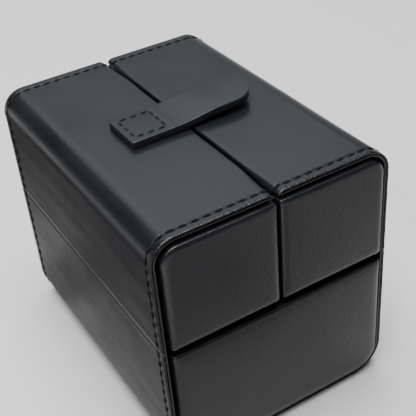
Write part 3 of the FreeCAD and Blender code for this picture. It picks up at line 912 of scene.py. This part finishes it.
def closure_strap(top_material, edge_material):
    """The whole strap: sewn down on the left lid, and bending where its free end starts."""
    bm = bmesh.new()
    verts = joined(bm, [(STRAP_LEFT, STRAP_HALF_W, STRAP_LOW), (STRAP_RIGHT, STRAP_TIP_HALF_W, STRAP_LOW),
                        (STRAP_RIGHT, -STRAP_TIP_HALF_W, STRAP_LOW),
                        (STRAP_LEFT, -STRAP_NEAR_HALF_W, STRAP_LOW)], closed=True)
    rounded(bm, verts[0], STRAP_CORNER_R, 3)
    rounded(bm, verts[3], STRAP_CORNER_R, 3)
    rounded(bm, verts[1], STRAP_TIP_HALF_W - STRAP_TIP_FLAT, 14)
    rounded(bm, verts[2], STRAP_TIP_HALF_W - STRAP_TIP_FLAT, 14)
    bmesh.ops.contextual_create(bm, geom=bm.edges[:])
    drawn_out(bm, bm.faces[:], (0, 0, STRAP_TOP - STRAP_LOW))
    bmesh.ops.recalc_face_normals(bm, faces=bm.faces)
    top_edges = edges_where(bm, lambda at: at.z > STRAP_TOP - NEAR)
    low_edges = edges_where(bm, lambda at: at.z < STRAP_LOW + NEAR)
    rolled(bm, top_edges, STRAP_EDGE_R, 4)
    rolled(bm, low_edges, STRAP_LOW_EDGE_R, 2)
    for level in (STRAP_TOP, STRAP_LOW):
        flat = [face for face in bm.faces if all(abs(vert.co.z - level) < NEAR for vert in face.verts)]
        bmesh.ops.inset_region(bm, faces=flat, thickness=STRAP_FLAT_INSET, use_even_offset=True)
    over_fold = spaced(STRAP_FOLD_FROM, STRAP_FOLD_TO, 0.6)
    sliced(bm, X_AXIS, spaced(STRAP_LEFT + 1, STRAP_FOLD_FROM, 3) + over_fold
           + spaced(STRAP_FOLD_TO, STRAP_RIGHT - 1, 2.2))
    sliced(bm, Y_AXIS, STRAP_ROWS)
    sliced(bm, Z_AXIS, [STRAP_LOW + STRAP_LAYER])
    bm.normal_update()
    for face in bm.faces:
        face.material_index = 0 if face.normal.z > 0.75 else 1
    left, right = SQUARE_X
    for vert in bm.verts:
        point = vert.co
        high = smoothstep((point.z - STRAP_LOW - 1.5) / 1.2)
        dish = STRAP_RELIEF * high * (point.y / 10) ** 2 * smoothstep((point.x + 6) / 10)
        puff = STRAP_RELIEF * high * bell(point.x - (left + right) / 2, 6) * bell(point.y, 6)
        pinch = 0.0
        if point.z > STRAP_TOP - 0.1 and left - 1 < point.x < right + 1:
            pinch = STRAP_RELIEF * bell(abs(point.y) - SQUARE_Y, 0.7)
        point.z += strap_rise(point.x) - dish + puff - pinch
        point.z += STRAP_WAVE * high * noise.noise(Vector((point.x / 9, point.y / 9, 4)))
    made = piece(bm, "closure_strap", [top_material, edge_material])
    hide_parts("strap_anchor", "strap_face", "strap_backing")
    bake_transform(made, "left_lid", "strap", start=(STRAP_BEND_FROM * 0.001, 0, STRAP_LOW * 0.001),
             end=(STRAP_BEND_TO * 0.001, 0, STRAP_LOW * 0.001))


def lathed(name, outline, material, body, replaced):
    """A round part of the closure, turned from its outline."""
    bm = bmesh.new()
    joined(bm, [(radius, 0, z) for radius, z in outline])
    bmesh.ops.spin(bm, geom=bm.verts[:] + bm.edges[:], cent=(0, 0, 0), axis=Z_AXIS, angle=2 * math.pi,
                   steps=LATHE_STEPS, use_merge=True)
    bmesh.ops.remove_doubles(bm, verts=bm.verts, dist=1e-4)
    bmesh.ops.translate(bm, verts=bm.verts, vec=(CLOSURE_X, 0, 0))
    made = piece(bm, name, [material])
    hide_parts(replaced)
    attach(made, body)


# ---- Tray cushions and softened boards ----

def slotted(bm, middle, slot_x, top):
    """Sinks the slot across a cushion's top, first its rounded lips and then its depth."""
    slot_faces = []
    for face in bm.faces:
        centre = face.calc_center_median()
        if centre.z > top - 0.01 and abs(centre.y - middle) < 0.99 and slot_x[0] < centre.x < slot_x[1]:
            slot_faces.append(face)
    for depth in CUSHION_SLOT_STEPS:
        made = bmesh.ops.extrude_face_region(bm, geom=slot_faces)
        bmesh.ops.delete(bm, geom=slot_faces, context="FACES")
        slot_faces = of_type(made, bmesh.types.BMFace)
        bmesh.ops.translate(bm, verts=of_type(made, bmesh.types.BMVert), vec=(0, 0, -depth))


def tray_cushion(name, x_from, x_to, y_from, y_to, z_from, z_to, material):
    """A stuffed pad with a slot across it that grips a cufflink's bar."""
    bm = bmesh.new()
    bmesh.ops.create_cube(bm, size=1.0)
    bmesh.ops.scale(bm, verts=bm.verts, vec=(x_to - x_from, y_to - y_from, z_to - z_from))
    middle = (y_from + y_to) / 2
    bmesh.ops.translate(bm, verts=bm.verts, vec=((x_from + x_to) / 2, middle, (z_from + z_to) / 2))
    rolled(bm, edges_where(bm, lambda at: at.z > z_to - NEAR), CUSHION_TOP_R, 4)
    corner_edges = [edge for edge in bm.edges if abs(edge.verts[0].co.z - edge.verts[1].co.z) > 5]
    rolled(bm, corner_edges, CUSHION_SIDE_R, 2)
    slot_x = (x_from + CUSHION_SLOT_END, x_to - CUSHION_SLOT_END)
    sliced(bm, X_AXIS, [*slot_x, *spaced(*slot_x, 4), x_from + CUSHION_COLUMN, x_to - CUSHION_COLUMN])
    sliced(bm, Y_AXIS, [middle + side * off for off in (CUSHION_SLOT_HALF_W, CUSHION_NEAR_ROW)
                        for side in (-1, 1)])
    sliced(bm, Y_AXIS, [middle + side * off for side in (-1, 1) for off in CUSHION_ROWS])
    sliced(bm, Z_AXIS, [z_to - down for down in CUSHION_LEVELS])
    slotted(bm, middle, slot_x, z_to)
    for vert in bm.verts:
        point = vert.co
        in_x = min(point.x - x_from, x_to - point.x) / (x_to - x_from) * 2
        in_y = min(point.y - y_from, y_to - point.y) / (y_to - y_from) * 2
        height = smoothstep((point.z - z_from) / (z_to - z_from))
        beside = 1 - (SLOT_DIP * bell(point.y - middle, SLOT_DIP_REACH)
                      * smoothstep((point.x - slot_x[0] + 3) / 4)
                      * smoothstep((slot_x[1] + 3 - point.x) / 4))
        crown = math.sin(min(1, in_x * 1.3) * math.pi / 2) * math.sin(min(1, in_y * 1.2) * math.pi / 2)
        lump = CUSHION_LUMP * noise.noise(point / CUSHION_LUMP_SIZE)
        point.z += height * (crown * beside - CUSHION_SINK + lump)
        waist = CUSHION_WAIST * math.sin(math.pi * min(1, max(0, (point.z - z_from) / (z_to - z_from))))
        if in_x < 0.02:
            point.x += waist * (1 if point.x < (x_from + x_to) / 2 else -1) * (in_y - 0.3)
        if in_y < 0.02:
            point.y += waist * (1 if point.y < middle else -1) * (in_x - 0.3)
    made = piece(bm, name, [material])
    soft = made.modifiers.new("rounding", "SUBSURF")
    soft.levels = soft.render_levels = 1
    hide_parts("tray_cushions")
    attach(made, "base")


def softened(node, body, material):
    """A board or lining with its edges eased, in place of its plain solid."""
    bm = bmesh.new()
    bm.from_mesh(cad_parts[node].data)
    bmesh.ops.scale(bm, verts=bm.verts, vec=(METRE, METRE, METRE))
    bmesh.ops.remove_doubles(bm, verts=bm.verts, dist=1e-3)
    bmesh.ops.dissolve_limit(bm, angle_limit=math.radians(1), verts=bm.verts, edges=bm.edges)
    sharp = [edge for edge in bm.edges if len(edge.link_faces) == 2
             and edge.calc_face_angle(0) > math.radians(35)]
    rolled(bm, sharp, BOARD_EDGE_R, 2)
    made = piece(bm, node + "_eased", [material])
    weighted = made.modifiers.new("even_shading", "WEIGHTED_NORMAL")
    weighted.keep_sharp = True
    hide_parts(node)
    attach(made, body)


def refinished(material, *nodes):
    """Gives CAD pieces that keep their shape their finish."""
    for node in nodes:
        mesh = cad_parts[node].data
        mesh.materials.clear()
        mesh.materials.append(material)


# ---- Finishes ----

SHEET_LEATHER = leather("satin_leather_sheet", grain=0.8, stitched=True, scuffed_with_lit_crease=True)
RIM_LEATHER = leather("satin_leather_rim", grain=0.9)
PANEL_LEATHER = leather("satin_leather_panel", grain=3.3)
STRAP_LEATHER = leather("satin_leather_strap", grain=0.4)
THREAD = thread()
EDGE_PAINT = painted_edge()
NICKEL = nickel()
LINING = suede("black_suede_lining", (0.014, 0.014, 0.015), (0.034, 0.034, 0.036))
SUEDE_BOARD = suede("black_suede_boards", (0.014, 0.014, 0.015), (0.034, 0.034, 0.036), rest=True)
CUSHION = suede("black_suede_cushion", (0.018, 0.018, 0.0195), (0.042, 0.042, 0.045), rest=True, nap=1.2)
PAPER = covering_paper()
BOARD = grey_board()
FOAM = open_foam()
FELT = felt()

# ---- The pieces ----

for side, is_right in (("left", False), ("right", True)):
    lid = side + "_lid"
    sheet = leather_sheet(side + "_leather_sheet", is_right, SHEET_LEATHER)
    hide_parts(lid + "_leather", "base_leather")
    hinge_blended(sheet, lid, is_right)
    hinge_blended(rim_lining(side + "_rim_lining", is_right, RIM_LEATHER), lid, is_right)
    hinge_blended(stitching(side + "_end_stitching", is_right, THREAD), lid, is_right)
    for end in ("front", "rear"):
        padded_panel(lid + "_" + end, lid, True, PANEL_LEATHER, LID_PANEL_R, LID_PANEL_ROLL)

padded_panel("drawer_front", "drawer", False, PANEL_LEATHER, END_PANEL_R, END_PANEL_ROLL)
padded_panel("base_rear", "base", False, PANEL_LEATHER, END_PANEL_R, END_PANEL_ROLL)

closure_strap(STRAP_LEATHER, EDGE_PAINT)
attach(strap_stitching(THREAD), "left_lid")
lathed("closure_keeper_plate", KEEPER_OUTLINE, NICKEL, "right_lid", "closure_keeper")
lathed("closure_magnet_disc", MAGNET_OUTLINE, NICKEL, "strap", "closure_magnet")

low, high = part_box("tray_cushions")
low, high = low * METRE, high * METRE
cell = (high.y - low.y - 2 * CUSHIONS_APART) / TRAY_ROWS
number = 0
for row in range(TRAY_ROWS):
    y = low.y + row * (cell + CUSHIONS_APART)
    for x_from, x_to in ((low.x, -CUSHION_FROM_MIDDLE), (CUSHION_FROM_MIDDLE, high.x)):
        number += 1
        tray_cushion(f"tray_cushion_{number}", x_from, x_to, y, y + cell, low.z, high.z, CUSHION)

for node in ("tray_floor", "tray_side_walls", "tray_front_wall", "tray_rear_wall", "tray_long_divider",
             "tray_cross_dividers", "shelf_board"):
    softened(node, "base", SUEDE_BOARD)
for node in ("drawer_tub", "drawer_front_wall", "drawer_back_wall", "drawer_divider"):
    softened(node, "drawer", SUEDE_BOARD)

refinished(LINING, "base_lining", "base_rear_lining", "shelf_lining", "drawer_lining", "left_lid_lining",
           "right_lid_lining", "left_lid_end_linings", "right_lid_end_linings")
refinished(PAPER, "base_casing", "left_lid_casing", "right_lid_casing")
refinished(FELT, "base_bottom_pad")
refinished(NICKEL, "closure_washer")
for owner in ("base_rear", "drawer_front", "left_lid_front", "left_lid_rear", "right_lid_front",
              "right_lid_rear"):
    refinished(BOARD, owner + "_panel_board")
    refinished(FOAM, owner + "_panel_foam")


# ---- Table, light and camera ----

def rectangle(low_x, low_y, high_x, high_y, z):
    """A mesh in the making that holds one level face."""
    bm = bmesh.new()
    joined(bm, [(low_x, low_y, z), (high_x, low_y, z), (high_x, high_y, z), (low_x, high_y, z)],
           closed=True)
    bmesh.ops.contextual_create(bm, geom=bm.edges[:])
    return bm


def table_top():
    """A pale, matt table."""
    bm = rectangle(-1.1, -0.9, 0.9, 1.1, 0)
    drawn_out(bm, bm.faces[:], (0, 0, -TABLE_T))
    bmesh.ops.recalc_face_normals(bm, faces=bm.faces)
    finish = Finish("pale_table", rest=False, **{"Specular IOR Level": 0.0})
    clouds = finish.noise(1.5, 2)
    material = finish.finished(finish.blend(clouds, TABLE_DULL, TABLE_PALE), 0.9)
    made = linked(bm, "table_top", [material])
    made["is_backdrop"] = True


def soft_box(name, azimuth, elevation, distance, width, height, radiance, colour):
    """An area light aimed at the box, its angles in degrees. Azimuth 0 is +Y, 90 is +X."""
    data = bpy.data.lights.new(name, "AREA")
    data.shape = "RECTANGLE"
    data.size, data.size_y = width, height
    data.energy = radiance * math.pi * width * height
    data.color = colour
    made = bpy.data.objects.new(name, data)
    bpy.context.scene.collection.objects.link(made)
    round_z, up = math.radians(azimuth), math.radians(elevation)
    way = Vector((math.sin(round_z) * math.cos(up), math.cos(round_z) * math.cos(up), math.sin(up)))
    made.location = way * distance + LAMPS_AIM
    made.rotation_euler = way.to_track_quat("Z", "Y").to_euler()


def reflected_shade():
    """A sheet just over the table that only reflections see, painted with the room's dark parts as the
    leather shows them: painted shade. It is dark beside the box, most of all towards its rear, and in front
    of it."""
    finish = Finish("shaded_table", rest=False, **{"Specular IOR Level": 0.0})
    x, y = finish.x, finish.y
    beside = (x.smooth(-0.1, -0.02, 0.97, 0) * x.smooth(-0.3, -0.2) * y.smooth(-0.16, -0.08)
              * y.smooth(0.3, 0.4, 1, 0))
    near_rear = y.smooth(0.042, 0.058) * y.smooth(0.075, 0.095, 1, 0) * x.smooth(-0.075, -0.06)
    far_rear = y.smooth(0.165, 0.19) * x.smooth(-0.1, -0.088)
    beside = beside + 0.3 * near_rear + 0.09 * far_rear
    before = (y.smooth(-0.14, -0.055, 0.68, 0) * y.smooth(-0.4, -0.3) * x.smooth(0.03, 0.1, 1, 0.72)
              * x.smooth(-0.08, -0.02) * x.smooth(0.25, 0.35, 1, 0))
    material = finish.finished(finish.blend(beside + before, TABLE_PALE, SHADE), 0.9)
    made = linked(rectangle(-0.5, -0.6, 0.5, 0.5, SHADE_Z), "reflected_shade", [material])
    made.visible_camera = made.visible_diffuse = made.visible_shadow = False
    made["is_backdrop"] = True


table_top()
reflected_shade()
soft_box("window_behind", azimuth=18, elevation=45.5, distance=1.3, width=1.15, height=0.6,
         radiance=1.5, colour=(0.895, 0.985, 1.0))
soft_box("backdrop", azimuth=18, elevation=11, distance=1.3, width=1.8, height=0.62,
         radiance=0.45, colour=(0.95, 0.98, 1.0))
soft_box("overhead", azimuth=285, elevation=86, distance=1.4, width=1.0, height=1.0,
         radiance=10.6, colour=(1.0, 0.995, 0.98))
soft_box("side_lamp", azimuth=232, elevation=40, distance=1.1, width=0.14, height=0.14,
         radiance=30.0, colour=(1.0, 0.99, 0.97))


def studio_air():
    """Pale where the camera looks past the table, dim for what the leather reflects."""
    world = bpy.data.worlds.new("studio")
    bpy.context.scene.world = world
    world.use_nodes = True
    tree = world.node_tree
    seen = tree.nodes.new("ShaderNodeLightPath").outputs["Is Camera Ray"]
    strength = tree.nodes.new("ShaderNodeMapRange")
    strength.inputs["To Min"].default_value = AIR_REFLECTED
    strength.inputs["To Max"].default_value = AIR_SEEN
    tree.links.new(seen, strength.inputs["Value"])
    background = tree.nodes["Background"]
    background.inputs[0].default_value = (*AIR, 1)
    tree.links.new(strength.outputs[0], background.inputs[1])


studio_air()

camera_data = bpy.data.cameras.new("camera")
camera_data.lens = CAMERA_LENS
camera_data.sensor_width = CAMERA_SENSOR
camera = bpy.data.objects.new("camera", camera_data)
bpy.context.scene.collection.objects.link(camera)
camera.matrix_world = Matrix.Translation(CAMERA_PLACE) @ Matrix(CAMERA_TURN).to_4x4()
bpy.context.scene.camera = camera

low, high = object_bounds()
